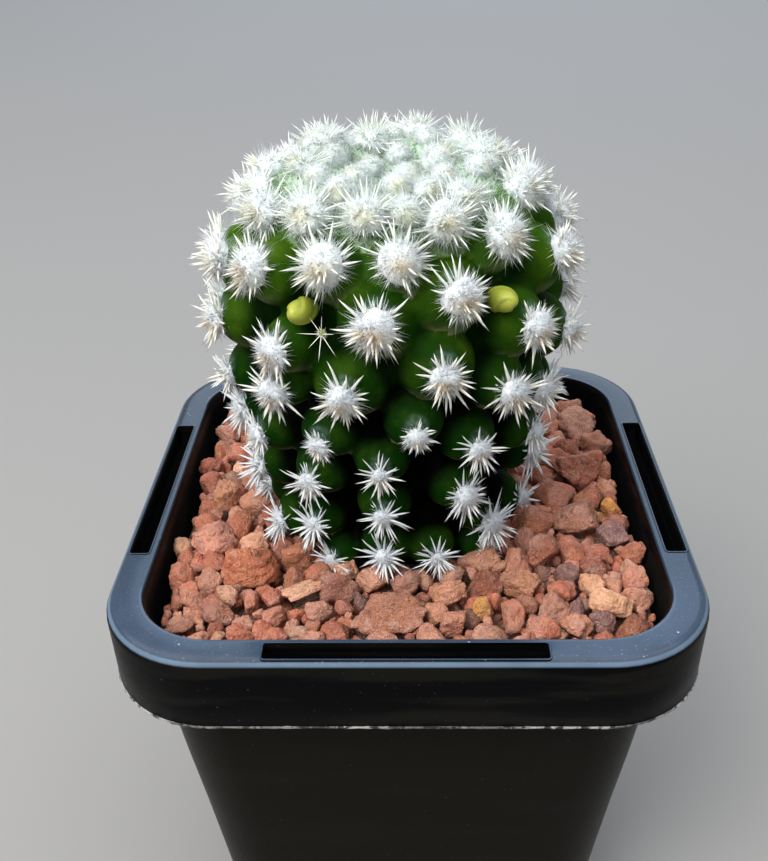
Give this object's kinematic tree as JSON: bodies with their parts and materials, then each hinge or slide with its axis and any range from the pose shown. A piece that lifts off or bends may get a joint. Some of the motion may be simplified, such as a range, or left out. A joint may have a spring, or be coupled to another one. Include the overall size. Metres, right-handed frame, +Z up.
{
  "type": "potted thimble cactus",
  "caption": "Small columnar thimble cactus with white spine clusters, rooted in a square black nursery pot topped with red lava gravel.",
  "frame": {"origin": "centre of the pot's underside", "axes": "+Z up through the plant, -Y towards the side that the picture shows, +X to its right"},
  "size_m": [0.07, 0.07, 0.1126],
  "materials": {
    "black_plastic": "satin moulded plastic, blue-grey where the sky falls on the rim",
    "potting_mix": "loose crumbly soil",
    "lava_gravel": "porous matte lava grit, terracotta red with tan and grey pieces",
    "red_stone": "porous matte red lava",
    "pink_stone": "porous matte pink-brown lava",
    "tan_stone": "granular matte tan pumice",
    "green_skin": "smooth, slightly waxy dark green skin",
    "spines": "white wool and ivory spines",
    "bud": "smooth yellow-green",
    "offset_skin": "smooth young green skin with thin white spines"
  },
  "bodies": {
    "root": {"pot": "black_plastic", "potting_mix": "potting_mix", "gravel_bed": "lava_gravel", "cactus_stem": "green_skin", "flower_bud_left": "bud", "flower_bud_right": "bud", "young_offset": "offset_skin", "spine_cluster_01": "spines", "spine_cluster_02": "spines", "spine_cluster_03": "spines", "spine_cluster_04": "spines", "spine_cluster_05": "spines", "spine_cluster_06": "spines", "spine_cluster_07": "spines", "spine_cluster_08": "spines", "spine_cluster_09": "spines", "spine_cluster_10": "spines", "spine_cluster_11": "spines", "spine_cluster_12": "spines", "spine_cluster_13": "spines", "spine_cluster_14": "spines", "spine_cluster_15": "spines", "spine_cluster_16": "spines", "spine_cluster_17": "spines", "spine_cluster_18": "spines", "spine_cluster_19": "spines", "spine_cluster_20": "spines", "spine_cluster_21": "spines", "spine_cluster_22": "spines", "spine_cluster_23": "spines", "spine_cluster_24": "spines", "spine_cluster_25": "spines", "spine_cluster_26": "spines", "spine_cluster_27": "spines", "spine_cluster_28": "spines", "spine_cluster_29": "spines", "spine_cluster_30": "spines", "spine_cluster_31": "spines", "spine_cluster_32": "spines", "spine_cluster_33": "spines", "spine_cluster_34": "spines", "spine_cluster_35": "spines", "spine_cluster_36": "spines", "spine_cluster_37": "spines", "spine_cluster_38": "spines", "spine_cluster_39": "spines", "spine_cluster_40": "spines", "spine_cluster_41": "spines", "stone_01": "pink_stone", "stone_02": "red_stone", "stone_03": "tan_stone", "stone_04": "tan_stone", "stone_05": "tan_stone", "stone_06": "red_stone", "stone_07": "tan_stone", "stone_08": "tan_stone", "stone_09": "red_stone", "stone_10": "red_stone", "stone_11": "tan_stone", "stone_12": "pink_stone"}
  },
  "joints": []
}
